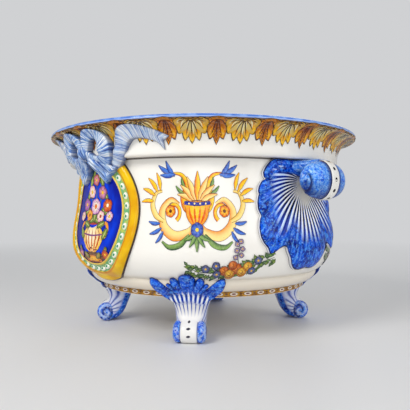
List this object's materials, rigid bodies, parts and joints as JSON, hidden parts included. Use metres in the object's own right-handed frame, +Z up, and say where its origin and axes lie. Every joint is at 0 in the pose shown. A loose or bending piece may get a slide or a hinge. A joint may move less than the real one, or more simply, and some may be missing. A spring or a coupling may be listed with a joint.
{
  "type": "planter pot",
  "caption": "Round glazed earthenware planter with a flared rim, shell handles, oval medallions under ribbon bows and scroll feet.",
  "frame": {"origin": "on the ground, under the middle of the round pot, level with the undersides of the feet", "axes": "+Z up, +X through the right shell handle, -Y through the front medallion"},
  "size_m": [0.373, 0.368, 0.2165],
  "materials": {
    "white_glaze": "glossy warm white tin glaze with painted ornament",
    "blue_glaze": "glossy sponged cobalt blue glaze with white ridges",
    "pale_blue_glaze": "glossy pale blue glaze with white and mid-blue stripes",
    "yellow_glaze": "glossy ochre yellow glaze round a deep blue field"
  },
  "bodies": {
    "root": {"pot_body": "white_glaze", "flared_collar": "white_glaze", "handle_shell_right": "blue_glaze", "handle_scroll_right": "blue_glaze", "handle_shell_left": "blue_glaze", "handle_scroll_left": "blue_glaze", "medallion_front": "yellow_glaze", "bow_front_knot": "pale_blue_glaze", "bow_front_loop_left": "pale_blue_glaze", "bow_front_tail_left": "pale_blue_glaze", "bow_front_streamer_left": "pale_blue_glaze", "bow_front_loop_right": "pale_blue_glaze", "bow_front_tail_right": "pale_blue_glaze", "bow_front_streamer_right": "pale_blue_glaze", "medallion_back": "yellow_glaze", "bow_back_knot": "pale_blue_glaze", "bow_back_loop_left": "pale_blue_glaze", "bow_back_tail_left": "pale_blue_glaze", "bow_back_streamer_left": "pale_blue_glaze", "bow_back_loop_right": "pale_blue_glaze", "bow_back_tail_right": "pale_blue_glaze", "bow_back_streamer_right": "pale_blue_glaze", "foot_front_right": "blue_glaze", "foot_back_right": "blue_glaze", "foot_front_left": "blue_glaze", "foot_back_left": "blue_glaze"}
  },
  "joints": []
}
